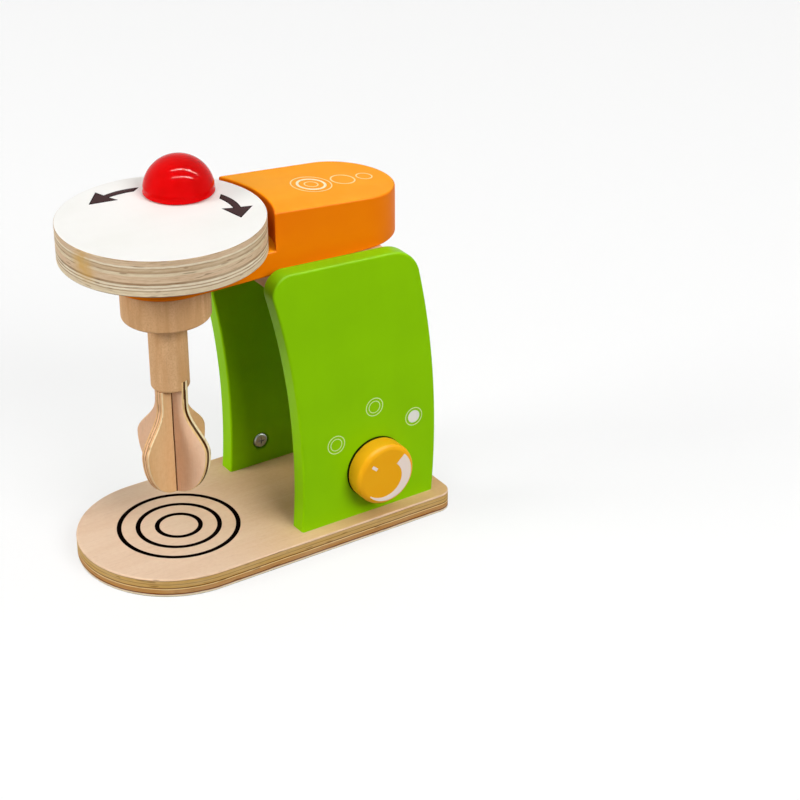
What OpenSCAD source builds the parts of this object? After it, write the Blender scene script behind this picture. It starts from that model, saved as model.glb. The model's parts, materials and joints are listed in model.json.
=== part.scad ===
// Toy stand mixer, a wooden pretend-play kitchen machine, in millimetres.
// X runs from the beater end (-X) to the back (+X), the dial side is -Y, Z is up.
// The origin is the centre of the base board's underside.

/* [Base board] */
// Width of the base board; its front end is a half circle of this diameter
base_w = 120; // [114:1:140]
// Length of the base board, round front end to straight back edge
base_l = 229; // [222:1:250]
// Thickness of the base board
base_t = 12.5; // [11:0.5:18]
// Radius of the two back corners
base_corner_r = 10; // [2:0.5:25]

/* [Side panels] */
// Thickness of each side panel
panel_t = 12; // [10:0.5:14]
// Distance from the base board's long edges to the panels' outer faces
panel_side_margin = 9.5; // [8:0.1:14]
// Height of the panels above the base board, at the foremost part of the top edge
panel_h = 175.8; // [168:0.2:200]
// Depth of a panel from its front edge to its back edge, near the base
panel_depth = 96.6; // [88:0.2:104]
// Distance from the base's back edge to the panels' back edge
panel_back_margin = 8.4; // [4:0.1:14]
// Radius of the hollow front edge
panel_front_r = 464; // [400:2:700]
// Height on the hollow front edge at which it lies furthest back
panel_front_z = 51; // [30:1:70]
// Radius of the bowed back edge
panel_back_r = 516; // [480:2:800]
// Height on the bowed back edge at which it lies furthest back
panel_back_z = 59; // [40:1:80]
// Fall of the top edge towards the back, in degrees
panel_top_slope = 3.3; // [0:0.1:6]
// Radius of the top corner at the front
panel_front_corner_r = 12; // [5:0.5:16]
// Radius of the top corner at the back
panel_back_corner_r = 21.5; // [12:0.5:32]

/* [Bridge block] */
// Length of the block that joins the panels under the head
bridge_l = 72.2; // [66:0.2:76]
// Thickness of the bridge block
bridge_t = 16; // [15:0.5:24]
// Distance by which its front face stands ahead of the panels' front edge near the base
bridge_ahead = 2.6; // [0:0.1:4]
// Drop of its top face below the panels' top edge at the front
bridge_drop = 6.9; // [5.8:0.1:12]

/* [Head] */
// Width of the head and of its two round ends
head_w = 66.4; // [60:0.2:70]
// Height of the head at its back end
head_back_h = 29.9; // [24:0.1:36]
// Fall of the head's top face towards the back, in degrees
head_top_slope = 5.25; // [0:0.05:7]
// Distance from the bridge block's back face to the head's back end
head_overhang = 24.1; // [20:0.1:34]
// Thickness of the arm that carries the disc
arm_t = 15; // [12:0.2:20]
// Gap all round the disc where the head is hollowed out for it
recess_gap = 4; // [1:0.1:6]
// Gap between the head's underside and the bridge block
head_rest_gap = 0.4; // [0.3:0.1:0.8]

/* [Hinge] */
// Width of the hinge across the head
hinge_w = 40; // [34:1:42]
// Thickness of a hinge leaf
leaf_t = 1.2; // [0.8:0.1:1.6]
// Length of a hinge leaf, measured from the pin
leaf_l = 13; // [12:0.5:14]
// Radius of the hinge knuckles
knuckle_r = 2.7; // [2.2:0.1:3]
// Diameter of the hinge pin
hinge_pin_d = 2.4; // [1.6:0.1:2.6]
// Number of knuckles on the two leaves together
knuckle_n = 5; // [3:2:7]
// Distance between the two screws of a leaf
leaf_screw_gap = 24; // [18:1:26]
// Clear distance between a turning knuckle and what is next to it
knuckle_gap = 0.3; // [0.3:0.05:0.5]

/* [Disc and axle] */
// Diameter of the turning disc
disc_d = 122.5; // [117:0.5:126]
// Thickness of the turning disc
disc_t = 22.5; // [22:0.5:28]
// Distance from the base's round front end to the axle
axle_from_front = 63.4; // [61:0.2:70]
// Diameter of the axle dowel
axle_d = 12; // [10:0.5:16]
// Depth to which the axle is let into the disc
axle_in_disc = 15; // [10:0.5:18]
// Diameter of the washer under the disc
disc_washer_d = 36; // [24:1:50]
// Thickness of the washer under the disc
disc_washer_t = 1.2; // [0.6:0.1:2.5]

/* [Crank knob] */
// Diameter of the crank knob's dome
knob_d = 43; // [30:0.5:44]
// Height of the crank knob
knob_h = 22.5; // [22.3:0.1:30]
// Height of the knob's narrow waist above its foot
knob_waist_h = 3.2; // [2:0.1:5]
// Depth of the groove at the waist
knob_waist_depth = 0.5; // [0.2:0.1:1.5]
// Distance of the crank knob from the axle
knob_offset = 36.5; // [30:0.5:37]
// Direction in which the crank knob stands at rest, in degrees from +X
knob_angle = 44.8; // [0:0.2:90]
// Diameter of the washer under the crank knob
knob_washer_d = 21; // [12:0.5:28]
// Thickness of the washer under the crank knob
knob_washer_t = 0.5; // [0.3:0.1:1.5]

/* [Hub and beater] */
// Diameter of the hub under the head
hub_d = 53.6; // [40:0.2:60]
// Height of the hub
hub_h = 22.7; // [20:0.1:30]
// Diameter of the washer over the hub
hub_washer_d = 32; // [24:1:40]
// Thickness of the washer over the hub
hub_washer_t = 0.8; // [0.5:0.1:1.5]
// Play between the hub and its washer
hub_play = 0.3; // [0.2:0.1:0.6]
// Diameter of the beater's shaft
shaft_d = 23.5; // [21.5:0.5:28]
// Length of shaft that shows below the hub
shaft_l = 47.2; // [36:0.2:54]
// Depth of the socket for the shaft in the hub
shaft_socket = 10; // [7:0.5:14]
// Depth to which the axle enters the shaft
axle_in_shaft = 8; // [5:0.5:12]
// Thickness of a beater blade
blade_t = 5.5; // [5:0.1:9]
// Width of a beater blade at its widest
blade_w = 53.6; // [40:0.2:56]
// Width of a blade's neck
blade_neck_w = 22; // [18:0.2:23]
// Length of the straight neck below the shaft
blade_neck_l = 10; // [3:0.1:12]
// Length over which a blade swells from its neck to its widest
blade_swell_l = 28.7; // [24:0.1:36]
// Length of a blade below its widest
blade_belly_l = 33; // [24:0.5:36]
// Width of a blade's tongue inside the shaft
tongue_w = 14; // [10:0.5:15]
// Length of a blade's tongue inside the shaft
tongue_l = 18; // [12:0.5:22]
// Depth of the open slot across the end of the shaft
open_slot_l = 6.2; // [3:0.1:9]
// Direction of the first blade at rest, in degrees from +X
blade_angle = 22; // [0:1:60]

/* [Dial] */
// Diameter of the dial
dial_d = 40.5; // [30:0.5:46]
// Thickness of the dial
dial_t = 13; // [13:0.2:20]
// Radius of the dial's rounded front edge
dial_edge_r = 3.5; // [1:0.1:5]
// Distance of the dial's centre behind the panels' front edge near the base
dial_from_front = 51.6; // [40:0.2:60]
// Height of the dial's centre above the base board
dial_above_base = 30.7; // [26:0.1:60]
// Diameter of the washer behind the dial
dial_washer_d = 20; // [12:0.5:28]
// Thickness of the washer behind the dial
dial_washer_t = 1; // [0.5:0.1:2]

/* [Side peg] */
// Distance of the peg behind the panels' front edge near the base
peg_from_front = 21.5; // [20:0.1:37]
// Height of the peg above the base board
peg_above_base = 16.1; // [14:0.1:40]
// Diameter of the peg's stem
peg_d = 11; // [9:0.5:16]
// Diameter of the peg's round head
peg_head_d = 17; // [14:0.5:24]
// Length of the peg outside the panel
peg_l = 19; // [17:0.5:26]

/* [Fasteners and fits] */
// Radial clearance of a turning shaft in its bore
running_gap = 0.08; // [0.02:0.01:0.1]
// Clearance on each side of a blade in its slot
slot_gap = 0.15; // [0.05:0.05:0.3]
// Clearance between a washer or a screw head and the hole round it
washer_gap = 0.5; // [0.3:0.1:0.8]
// Diameter of the round-headed screws
pan_screw_d = 5; // [4:0.1:5.5]
// Diameter of their heads
pan_head_d = 10; // [8:0.2:11]
// Height of their heads
pan_head_h = 2.4; // [2:0.1:3]
// Depth to which they enter the wooden piece that they hold
pan_screw_grip = 10; // [7:0.5:11]
// Diameter of the washers under the turning screws' heads
small_washer_d = 10.6; // [9:0.2:11.4]
// Thickness of these washers
small_washer_t = 0.8; // [0.5:0.1:1.2]
// Play between a turning screw's head and its washer
head_play = 0.2; // [0.1:0.1:0.4]
// Diameter of the base screws
base_screw_d = 4.5; // [3.5:0.1:5]
// Length of the base screws
base_screw_l = 38; // [30:1:45]
// Distance from a panel's front or back edge to its base screw
base_screw_inset = 10; // [8:0.5:11]
// Diameter of the hinge screws
hinge_screw_d = 3; // [2.5:0.1:3.5]
// Length of the hinge screws
hinge_screw_l = 13; // [10:0.5:16]
// Diameter of the glued dowels
dowel_d = 6; // [5:0.5:8]
// Depth of a base dowel in the base board
dowel_in_base = 8; // [6:0.5:10]
// Depth of a base dowel in its panel
dowel_in_panel = 14; // [10:0.5:20]
// Depth of a bridge dowel in its panel
bridge_dowel_in_panel = 7; // [5:0.5:8]
// Depth of a bridge dowel in the bridge block
bridge_dowel_in_block = 16; // [10:0.5:20]
// Distance from the bridge block's end faces to its dowels
bridge_dowel_inset = 15; // [10:0.5:24]

/* [Hidden] */

// Cylinders and turned pieces are drawn with this many sides
$fn = 96;
// Cuts run past the faces they open by this much
past = 1;

// Colours
ply_c = "#dcb994";
green_c = "#80bb00";
orange_c = "#f08a1c";
white_c = "#f7f5ee";
red_c = "#d80c0c";
yellow_c = "#f5a623";
beech_c = "#cfa27a";
steel_c = "#b9bcc0";
felt_c = "#3a3430";

// Places along X
base_front_x = -base_l / 2;
base_back_x = base_l / 2;
axle_x = base_front_x + axle_from_front;
panel_back_x = base_back_x - panel_back_margin;
panel_front_x = panel_back_x - panel_depth;
bridge_front_x = panel_front_x - bridge_ahead;
bridge_back_x = bridge_front_x + bridge_l;
head_back_x = bridge_back_x + head_overhang;
dial_x = panel_front_x + dial_from_front;
peg_x = panel_front_x + peg_from_front;
hinge_x = bridge_back_x + knuckle_r + knuckle_gap;

// Places along Y
panel_out_y = base_w / 2 - panel_side_margin;
panel_mid_y = panel_out_y - panel_t / 2;
panel_in_y = panel_out_y - panel_t;

// Heights
panel_top_z = base_t + panel_h;
bridge_top_z = panel_top_z - bridge_drop;
bridge_mid_z = bridge_top_z - bridge_t / 2;
head_z = bridge_top_z + head_rest_gap;
hinge_z = head_z - knuckle_r - knuckle_gap;
arm_top_z = head_z + arm_t;
disc_z = arm_top_z + disc_washer_t;
disc_top_z = disc_z + disc_t;
hub_top_z = head_z - hub_washer_t - hub_play;
hub_z = hub_top_z - hub_h;
shaft_z = hub_z - shaft_l;
shaft_top_z = hub_z + shaft_socket;
axle_z = shaft_top_z - axle_in_shaft;
axle_top_z = disc_z + axle_in_disc;
dial_z = base_t + dial_above_base;
peg_z = base_t + peg_above_base;

// Crank knob
knob_z = disc_top_z + knob_washer_t;

// Beater blades
blade_neck_z = shaft_z - blade_neck_l;
blade_wide_z = blade_neck_z - blade_swell_l;
blade_low_z = blade_wide_z - blade_belly_l;
blade_lap_z = (blade_low_z + shaft_z) / 2;
tongue_top_z = shaft_z + tongue_l;
slot_end_gap = 0.4;
swell_n = 14;
swell_power = 1.25;

// Screws
screw_head_ratio = 1.9;
screw_head_slope = 0.6;
base_screw_sink = 0.5;
counterbore_d = pan_head_d + 2 * washer_gap + 1;
counterbore_h = small_washer_t + head_play + pan_head_h;
crank_counterbore_h = counterbore_h + 1;
crank_screw_seat = disc_z + crank_counterbore_h - small_washer_t - head_play;
crank_screw_l = knob_z + pan_screw_grip - crank_screw_seat;
dial_screw_seat = panel_in_y + counterbore_h - small_washer_t - head_play;
dial_screw_l = panel_out_y + dial_washer_t + pan_screw_grip - dial_screw_seat;
peg_screw_seat = panel_in_y + pan_head_h;
peg_screw_l = panel_out_y + pan_screw_grip - peg_screw_seat;

// Hinge
knuckle_l = hinge_w / knuckle_n;
knuckle_side_gap = 0.15;
leaf_screw_reach = (knuckle_r + knuckle_gap + leaf_l) / 2;

function arc(c, r, a0, a1, n) = [for (i = [0:n]) let (a = a0 + (a1 - a0) * i / n) c + r * [cos(a), sin(a)]];

// Point on the line from p in direction d whose distance from c is r, on the far side from c
function line_to_circle(p, d, c, r) = let (w = p - c, b = w * d) p + (sqrt(b * b - w * w + r * r) - b) * d;

function angle_of(v) = atan2(v[1], v[0]);

// A slab across Y, drawn from its X-Z outline
module slab(y, t) {
    translate([0, y + t, 0]) rotate([90, 0, 0]) linear_extrude(t) children();
}

// Copies at +Y and -Y
module both_sides() {
    children();
    mirror([0, 1, 0]) children();
}

// Half of a disc, on the -X side of its centre
module half_disc(d) {
    intersection() {
        circle(d = d);
        translate([-d / 2, -d / 2]) square([d / 2, d]);
    }
}

// Wood screw with a flat, conical head: its head's face is at the origin and it points along +Z
module flat_screw_body(d, l) {
    head_r = d * screw_head_ratio / 2;
    head_h = (head_r - d / 2) / screw_head_slope;
    tip_h = d;
    rotate_extrude() polygon([[0, 0], [head_r, 0], [d / 2, head_h], [d / 2, l - tip_h], [0, l]]);
}

module cross_recess(size, depth) {
    bar = size / 5;
    for (a = [0, 90]) {
        rotate(a) translate([-size / 2, -bar / 2, -past]) cube([size, bar, depth + past]);
    }
}

module flat_screw(d, l) {
    difference() {
        flat_screw_body(d, l);
        cross_recess(d, d / 3);
    }
}

// Screw with a round, flattened head: the seat of its head is at the origin and it points along +Z
module pan_screw_body(l) {
    head_r = pan_head_d / 2;
    edge_r = pan_head_h * 0.6;
    tip_h = pan_screw_d;
    rotate_extrude() polygon(concat(
        [[0, -pan_head_h]],
        arc([head_r - edge_r, edge_r - pan_head_h], edge_r, -90, 0, 6),
        [[head_r, 0], [pan_screw_d / 2, 0], [pan_screw_d / 2, l - tip_h], [0, l]]
    ));
}

module pan_screw(l) {
    difference() {
        pan_screw_body(l);
        translate([0, 0, -pan_head_h]) cross_recess(pan_head_d * 0.5, pan_head_h * 0.6);
    }
}

module washer(outer_d, hole_d, t) {
    difference() {
        cylinder(d = outer_d, h = t);
        translate([0, 0, -past]) cylinder(d = hole_d, h = t + 2 * past);
    }
}

// Solid of revolution with a rounded upper and lower rim
module turned_disc(d, h, low_r, top_r) {
    rotate_extrude() polygon(concat(
        [[0, 0]],
        arc([d / 2 - low_r, low_r], low_r, -90, 0, 5),
        arc([d / 2 - top_r, h - top_r], top_r, 0, 90, 5),
        [[0, h]]
    ));
}

// Base

module base_outline() {
    round_x = base_front_x + base_w / 2;
    corner_x = base_back_x - base_corner_r;
    corner_y = base_w / 2 - base_corner_r;
    translate([round_x, 0]) half_disc(base_w);
    translate([round_x, -base_w / 2]) square([corner_x - round_x, base_w]);
    translate([corner_x, -corner_y]) square([base_corner_r, 2 * corner_y]);
    both_sides() translate([corner_x, corner_y]) intersection() {
        circle(r = base_corner_r);
        square(base_corner_r);
    }
}

module at_base_screws() {
    both_sides() for (x = [panel_front_x + base_screw_inset, panel_back_x - base_screw_inset]) {
        translate([x, panel_mid_y, base_screw_sink]) children();
    }
}

module at_base_dowels() {
    both_sides() translate([(panel_front_x + panel_back_x) / 2, panel_mid_y, base_t - dowel_in_base])
        children();
}

module base_screw_solids() {
    at_base_screws() flat_screw_body(base_screw_d, base_screw_l);
}

module base_dowel_solids() {
    at_base_dowels() cylinder(d = dowel_d, h = dowel_in_base + dowel_in_panel);
}

module base_board() {
    color(ply_c) difference() {
        linear_extrude(base_t) base_outline();
        base_screw_solids();
        at_base_screws() translate([0, 0, -base_screw_sink - past])
            cylinder(d = base_screw_d * screw_head_ratio, h = base_screw_sink + past);
        base_dowel_solids();
    }
}

module base_screws() {
    color(steel_c) at_base_screws() flat_screw(base_screw_d, base_screw_l);
}

module base_dowels() {
    color(beech_c) base_dowel_solids();
}

// Side panels

module panel_outline() {
    down = [sin(panel_top_slope), cos(panel_top_slope)];
    along = [cos(panel_top_slope), -sin(panel_top_slope)];
    top = [panel_front_x, panel_top_z];
    front_c = [panel_front_x - panel_front_r, panel_front_z];
    back_c = [panel_back_x - panel_back_r, panel_back_z];
    front_reach = panel_front_r + panel_front_corner_r;
    back_reach = panel_back_r - panel_back_corner_r;
    f = line_to_circle(top - panel_front_corner_r * down, along, front_c, front_reach);
    b = line_to_circle(top - panel_back_corner_r * down, along, back_c, back_reach);
    top_a = 90 - panel_top_slope;
    front_a = angle_of(f - front_c);
    back_a = angle_of(b - back_c);
    polygon(concat(
        arc(front_c, panel_front_r, asin((base_t - panel_front_z) / panel_front_r), front_a, 20),
        arc(f, panel_front_corner_r, front_a + 180, top_a, 16),
        arc(b, panel_back_corner_r, top_a, back_a, 16),
        arc(back_c, panel_back_r, back_a, asin((base_t - panel_back_z) / panel_back_r), 20)
    ));
}

// What both panels have in common, drawn on the +Y side
module panel_blank() {
    difference() {
        slab(panel_in_y, panel_t) panel_outline();
        base_screw_solids();
        base_dowel_solids();
        bridge_dowel_solids();
    }
}

// Through hole for a turning or fixed screw, with a pocket for its head in the panel's inner face
module panel_screw_hole(x, z, hole_d, pocket_h) {
    translate([x, panel_in_y, z]) rotate([-90, 0, 0]) {
        translate([0, 0, -past]) cylinder(d = hole_d, h = panel_t + 2 * past);
        translate([0, 0, -past]) cylinder(d = counterbore_d, h = pocket_h + past);
    }
}

module dial_panel() {
    color(green_c) mirror([0, 1, 0]) difference() {
        panel_blank();
        panel_screw_hole(dial_x, dial_z, pan_screw_d + 2 * running_gap, counterbore_h);
    }
}

module peg_panel() {
    color(green_c) difference() {
        panel_blank();
        panel_screw_hole(peg_x, peg_z, pan_screw_d, pan_head_h);
    }
}

// Bridge block between the panels

module bridge_dowel_solids() {
    both_sides() for (x = [bridge_front_x + bridge_dowel_inset, bridge_back_x - bridge_dowel_inset]) {
        translate([x, panel_in_y - bridge_dowel_in_block, bridge_mid_z]) rotate([-90, 0, 0])
            cylinder(d = dowel_d, h = bridge_dowel_in_block + bridge_dowel_in_panel);
    }
}

module bridge_block() {
    color(beech_c) difference() {
        translate([bridge_front_x, -panel_in_y, bridge_top_z - bridge_t])
            cube([bridge_l, 2 * panel_in_y, bridge_t]);
        bridge_dowel_solids();
        hinge_fixed_screw_solids();
    }
}

module bridge_dowels() {
    color(beech_c) bridge_dowel_solids();
}

// Hinge at the back edge of the bridge block

// Knuckles whose number is even (0, 2, 4) or odd (1, 3), counted from -Y
module knuckles(first, r, grow) {
    for (i = [first:2:knuckle_n - 1]) {
        y = -hinge_w / 2 + i * knuckle_l + knuckle_side_gap - grow;
        translate([hinge_x, y, hinge_z]) rotate([-90, 0, 0])
            cylinder(r = r, h = knuckle_l - 2 * knuckle_side_gap + 2 * grow);
    }
}

module hinge_bore(clearance) {
    translate([hinge_x, -hinge_w / 2 - past, hinge_z]) rotate([-90, 0, 0])
        cylinder(d = hinge_pin_d + 2 * clearance, h = hinge_w + 2 * past);
}

module at_leaf_screws() {
    for (y = [-leaf_screw_gap / 2, leaf_screw_gap / 2]) {
        translate([0, y, 0]) children();
    }
}

module hinge_fixed_screw_solids() {
    at_leaf_screws() translate([bridge_back_x + leaf_t, 0, hinge_z - leaf_screw_reach])
        rotate([0, -90, 0]) flat_screw_body(hinge_screw_d, hinge_screw_l);
}

module hinge_moving_screw_solids() {
    at_leaf_screws() translate([hinge_x + leaf_screw_reach, 0, head_z - leaf_t])
        flat_screw_body(hinge_screw_d, hinge_screw_l);
}

module hinge_fixed_leaf() {
    color(steel_c) difference() {
        union() {
            translate([bridge_back_x, -hinge_w / 2, hinge_z - leaf_l]) cube([leaf_t, hinge_w, leaf_l]);
            knuckles(0, knuckle_r, 0);
        }
        knuckles(1, knuckle_r + knuckle_gap, 2 * knuckle_side_gap);
        hinge_bore(0);
        hinge_fixed_screw_solids();
    }
}

module hinge_moving_leaf() {
    color(steel_c) difference() {
        union() {
            translate([hinge_x, -hinge_w / 2, head_z - leaf_t]) cube([leaf_l, hinge_w, leaf_t]);
            knuckles(1, knuckle_r, 0);
        }
        knuckles(0, knuckle_r + knuckle_gap, 2 * knuckle_side_gap);
        hinge_bore(running_gap);
        hinge_moving_screw_solids();
    }
}

module hinge_pin() {
    color(steel_c) translate([hinge_x, -hinge_w / 2, hinge_z]) rotate([-90, 0, 0])
        cylinder(d = hinge_pin_d, h = hinge_w);
}

module hinge_fixed_screws() {
    color(steel_c) at_leaf_screws() translate([bridge_back_x + leaf_t, 0, hinge_z - leaf_screw_reach])
        rotate([0, -90, 0]) flat_screw(hinge_screw_d, hinge_screw_l);
}

module hinge_moving_screws() {
    color(steel_c) at_leaf_screws() translate([hinge_x + leaf_screw_reach, 0, head_z - leaf_t])
        flat_screw(hinge_screw_d, hinge_screw_l);
}

// Head

module head_outline() {
    round_x = head_back_x - head_w / 2;
    translate([axle_x, 0]) half_disc(head_w);
    translate([axle_x, -head_w / 2]) square([round_x - axle_x, head_w]);
    translate([round_x, 0]) mirror([1, 0]) half_disc(head_w);
}

// Space above the head's sloping top face
module above_head() {
    translate([head_back_x, 0, head_z + head_back_h]) rotate([0, head_top_slope, 0])
        translate([-2 * base_l, -head_w, 0]) cube([3 * base_l, 2 * head_w, base_l]);
}

module head() {
    blank_h = head_back_h + (head_back_x - axle_x + head_w) * tan(head_top_slope);
    color(orange_c) difference() {
        translate([0, 0, head_z]) linear_extrude(blank_h) head_outline();
        above_head();
        translate([axle_x, 0, arm_top_z])
            cylinder(r = disc_d / 2 + recess_gap, h = blank_h, $fn = 180);
        translate([axle_x, 0, head_z - past])
            cylinder(d = axle_d + 2 * running_gap, h = arm_t + 2 * past);
        hinge_moving_screw_solids();
    }
}

// Turning disc, axle and hub

module disc_washer() {
    color(felt_c) translate([axle_x, 0, arm_top_z])
        washer(disc_washer_d, axle_d + 2 * washer_gap, disc_washer_t);
}

module hub_washer() {
    color(felt_c) translate([axle_x, 0, head_z - hub_washer_t])
        washer(hub_washer_d, axle_d + 2 * washer_gap, hub_washer_t);
}

module at_knob() {
    translate([axle_x, 0, 0]) rotate(knob_angle) translate([knob_offset, 0, 0]) children();
}

module disc() {
    rim_r = 1.5;
    color(white_c) difference() {
        translate([axle_x, 0, disc_z]) turned_disc(disc_d, disc_t, rim_r, rim_r, $fn = 180);
        translate([axle_x, 0, disc_z - past]) cylinder(d = axle_d, h = axle_in_disc + past);
        at_knob() translate([0, 0, disc_z - past])
            cylinder(d = pan_screw_d + 2 * running_gap, h = disc_t + 2 * past);
        at_knob() translate([0, 0, disc_z - past])
            cylinder(d = counterbore_d, h = crank_counterbore_h + past);
    }
}

module axle() {
    color(beech_c) translate([axle_x, 0, axle_z]) cylinder(d = axle_d, h = axle_top_z - axle_z);
}

module hub() {
    rim_r = 2;
    color(beech_c) difference() {
        translate([axle_x, 0, hub_z]) turned_disc(hub_d, hub_h, rim_r, rim_r);
        translate([axle_x, 0, hub_z - past]) cylinder(d = shaft_d, h = shaft_socket + past);
        translate([axle_x, 0, hub_z - past]) cylinder(d = axle_d, h = hub_h + 2 * past);
    }
}

// Beater

module at_blade(i) {
    translate([axle_x, 0, 0]) rotate(blade_angle + 90 * i) children();
}

module beater_shaft() {
    slot_t = blade_t + 2 * slot_gap;
    color(beech_c) difference() {
        translate([axle_x, 0, shaft_z]) cylinder(d = shaft_d, h = shaft_top_z - shaft_z);
        translate([axle_x, 0, axle_z]) cylinder(d = axle_d, h = axle_in_shaft + past);
        for (i = [0, 1]) {
            at_blade(i) translate([-tongue_w / 2 - slot_gap, -slot_t / 2, shaft_z - past])
                cube([tongue_w + 2 * slot_gap, slot_t, tongue_l + slot_end_gap + past]);
        }
        at_blade(1) translate([-shaft_d, -slot_t / 2, shaft_z - past])
            cube([2 * shaft_d, slot_t, open_slot_l + past]);
    }
}

// Right half of a blade's outline, from the bottom of its belly up to the end of its tongue
function blade_side(shoulder_z) = let (w = blade_w / 2, n = blade_neck_w / 2) concat(
    [for (a = [0:7.5:90]) [w * sin(a), blade_wide_z - blade_belly_l * cos(a)]],
    [for (i = [1:swell_n]) let (k = i / swell_n)
        [n + (w - n) * pow((1 + cos(180 * k)) / 2, swell_power), blade_wide_z + blade_swell_l * k]],
    [[n, shoulder_z], [tongue_w / 2, shoulder_z], [tongue_w / 2, tongue_top_z]]
);

module blade_solid(shoulder_z) {
    side = blade_side(shoulder_z);
    slab(-blade_t / 2, blade_t)
        polygon(concat(side, [for (i = [len(side) - 1:-1:1]) [-side[i][0], side[i][1]]]));
}

// The blades cross in a half lap: the first is slotted from above, the second from below
module beater_blade_a() {
    lap_t = blade_t + 2 * slot_gap;
    color(beech_c) at_blade(0) difference() {
        blade_solid(shaft_z);
        translate([-lap_t / 2, -blade_t, blade_lap_z])
            cube([lap_t, 2 * blade_t, tongue_top_z - blade_lap_z + past]);
    }
}

module beater_blade_b() {
    lap_t = blade_t + 2 * slot_gap;
    color(beech_c) at_blade(1) difference() {
        blade_solid(shaft_z + open_slot_l - slot_end_gap);
        translate([-lap_t / 2, -blade_t, blade_low_z - past])
            cube([lap_t, 2 * blade_t, blade_lap_z - blade_low_z + past]);
    }
}

// Crank knob

module crank_knob() {
    r = knob_d / 2;
    foot_r = 1;
    dome_z = knob_h - r;
    color(red_c) difference() {
        at_knob() translate([0, 0, knob_z]) rotate_extrude() polygon(concat(
            [[0, 0]],
            arc([r - foot_r, foot_r], foot_r, -90, 0, 4),
            [[r - knob_waist_depth, knob_waist_h]],
            [for (a = [7.5:7.5:90]) [r * cos(a), max(dome_z, knob_waist_h - r * sin(7.5)) + r * sin(a)]]
        ));
        crank_knob_screw_solid();
    }
}

module crank_knob_screw_solid() {
    at_knob() translate([0, 0, crank_screw_seat]) pan_screw_body(crank_screw_l);
}

module crank_knob_screw() {
    color(steel_c) at_knob() translate([0, 0, crank_screw_seat]) pan_screw(crank_screw_l);
}

module crank_knob_washer() {
    color(felt_c) at_knob() translate([0, 0, disc_top_z])
        washer(knob_washer_d, pan_screw_d + 2 * washer_gap, knob_washer_t);
}

module crank_screw_washer() {
    color(steel_c) at_knob() translate([0, 0, disc_z + crank_counterbore_h - small_washer_t])
        washer(small_washer_d, pan_screw_d + 2 * washer_gap, small_washer_t);
}

// Dial

// Places a piece on the dial's axis, pointing out of the panel, from the given distance off mid-plane
module at_dial(y) {
    translate([dial_x, -y, dial_z]) rotate([90, 0, 0]) children();
}

module dial_screw_solid() {
    at_dial(dial_screw_seat) pan_screw_body(dial_screw_l);
}

module dial() {
    back_edge_r = 1;
    color(yellow_c) difference() {
        at_dial(panel_out_y + dial_washer_t) turned_disc(dial_d, dial_t, back_edge_r, dial_edge_r);
        dial_screw_solid();
    }
}

module dial_screw() {
    color(steel_c) at_dial(dial_screw_seat) pan_screw(dial_screw_l);
}

module dial_washer() {
    color(felt_c) at_dial(panel_out_y) washer(dial_washer_d, pan_screw_d + 2 * washer_gap, dial_washer_t);
}

module dial_screw_washer() {
    color(steel_c) at_dial(panel_in_y + counterbore_h - small_washer_t)
        washer(small_washer_d, pan_screw_d + 2 * washer_gap, small_washer_t);
}

// Side peg on the other panel

module at_peg(y) {
    translate([peg_x, y, peg_z]) rotate([-90, 0, 0]) children();
}

module peg_screw_solid() {
    at_peg(peg_screw_seat) pan_screw_body(peg_screw_l);
}

module side_peg() {
    r = peg_d / 2;
    flare = peg_head_d / 2 - r;
    half_h = 4.5;
    color(beech_c) difference() {
        at_peg(panel_out_y) rotate_extrude() polygon(concat(
            [[0, 0], [r, 0], [r, peg_l - 2 * half_h]],
            [for (a = [-60:15:90]) [r + flare * cos(a), peg_l - half_h + half_h * sin(a)]],
            [[0, peg_l]]
        ));
        peg_screw_solid();
    }
}

module side_peg_screw() {
    color(steel_c) at_peg(peg_screw_seat) pan_screw(peg_screw_l);
}

base_board();
dial_panel();
peg_panel();
base_screws();
base_dowels();
bridge_block();
bridge_dowels();
hinge_fixed_leaf();
hinge_moving_leaf();
hinge_pin();
hinge_fixed_screws();
hinge_moving_screws();
head();
disc_washer();
hub_washer();
disc();
axle();
hub();
beater_shaft();
beater_blade_a();
beater_blade_b();
crank_knob();
crank_knob_screw();
crank_knob_washer();
crank_screw_washer();
dial();
dial_screw();
dial_washer();
dial_screw_washer();
side_peg();
side_peg_screw();
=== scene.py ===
"""Looks of a wooden toy stand mixer: eased boards, turned pieces, bare and painted wood, and prints."""
import json
import math

import bmesh
import bpy
from mathutils import Matrix, Vector, noise


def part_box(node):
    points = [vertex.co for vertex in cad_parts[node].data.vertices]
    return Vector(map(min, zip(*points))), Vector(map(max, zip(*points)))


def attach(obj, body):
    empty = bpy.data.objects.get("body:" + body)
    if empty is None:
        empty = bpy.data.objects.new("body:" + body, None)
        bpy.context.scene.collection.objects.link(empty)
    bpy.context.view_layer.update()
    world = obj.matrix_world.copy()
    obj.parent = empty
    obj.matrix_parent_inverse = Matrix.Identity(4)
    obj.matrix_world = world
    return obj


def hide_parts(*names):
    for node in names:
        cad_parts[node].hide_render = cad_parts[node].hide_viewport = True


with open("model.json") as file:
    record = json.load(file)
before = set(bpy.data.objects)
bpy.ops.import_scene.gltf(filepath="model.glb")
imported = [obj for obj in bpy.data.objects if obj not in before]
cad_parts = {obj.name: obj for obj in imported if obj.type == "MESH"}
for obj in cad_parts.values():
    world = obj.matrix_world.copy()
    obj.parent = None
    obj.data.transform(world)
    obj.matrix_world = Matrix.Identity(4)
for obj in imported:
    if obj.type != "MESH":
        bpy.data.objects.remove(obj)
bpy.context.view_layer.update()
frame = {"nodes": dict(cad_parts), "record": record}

MM = 0.001
UP = (0, 0, 1)
ACROSS = (0, 1, 0)
ENDWAYS = (1, 0, 0)

# Places and sizes that the frame gives

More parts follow.
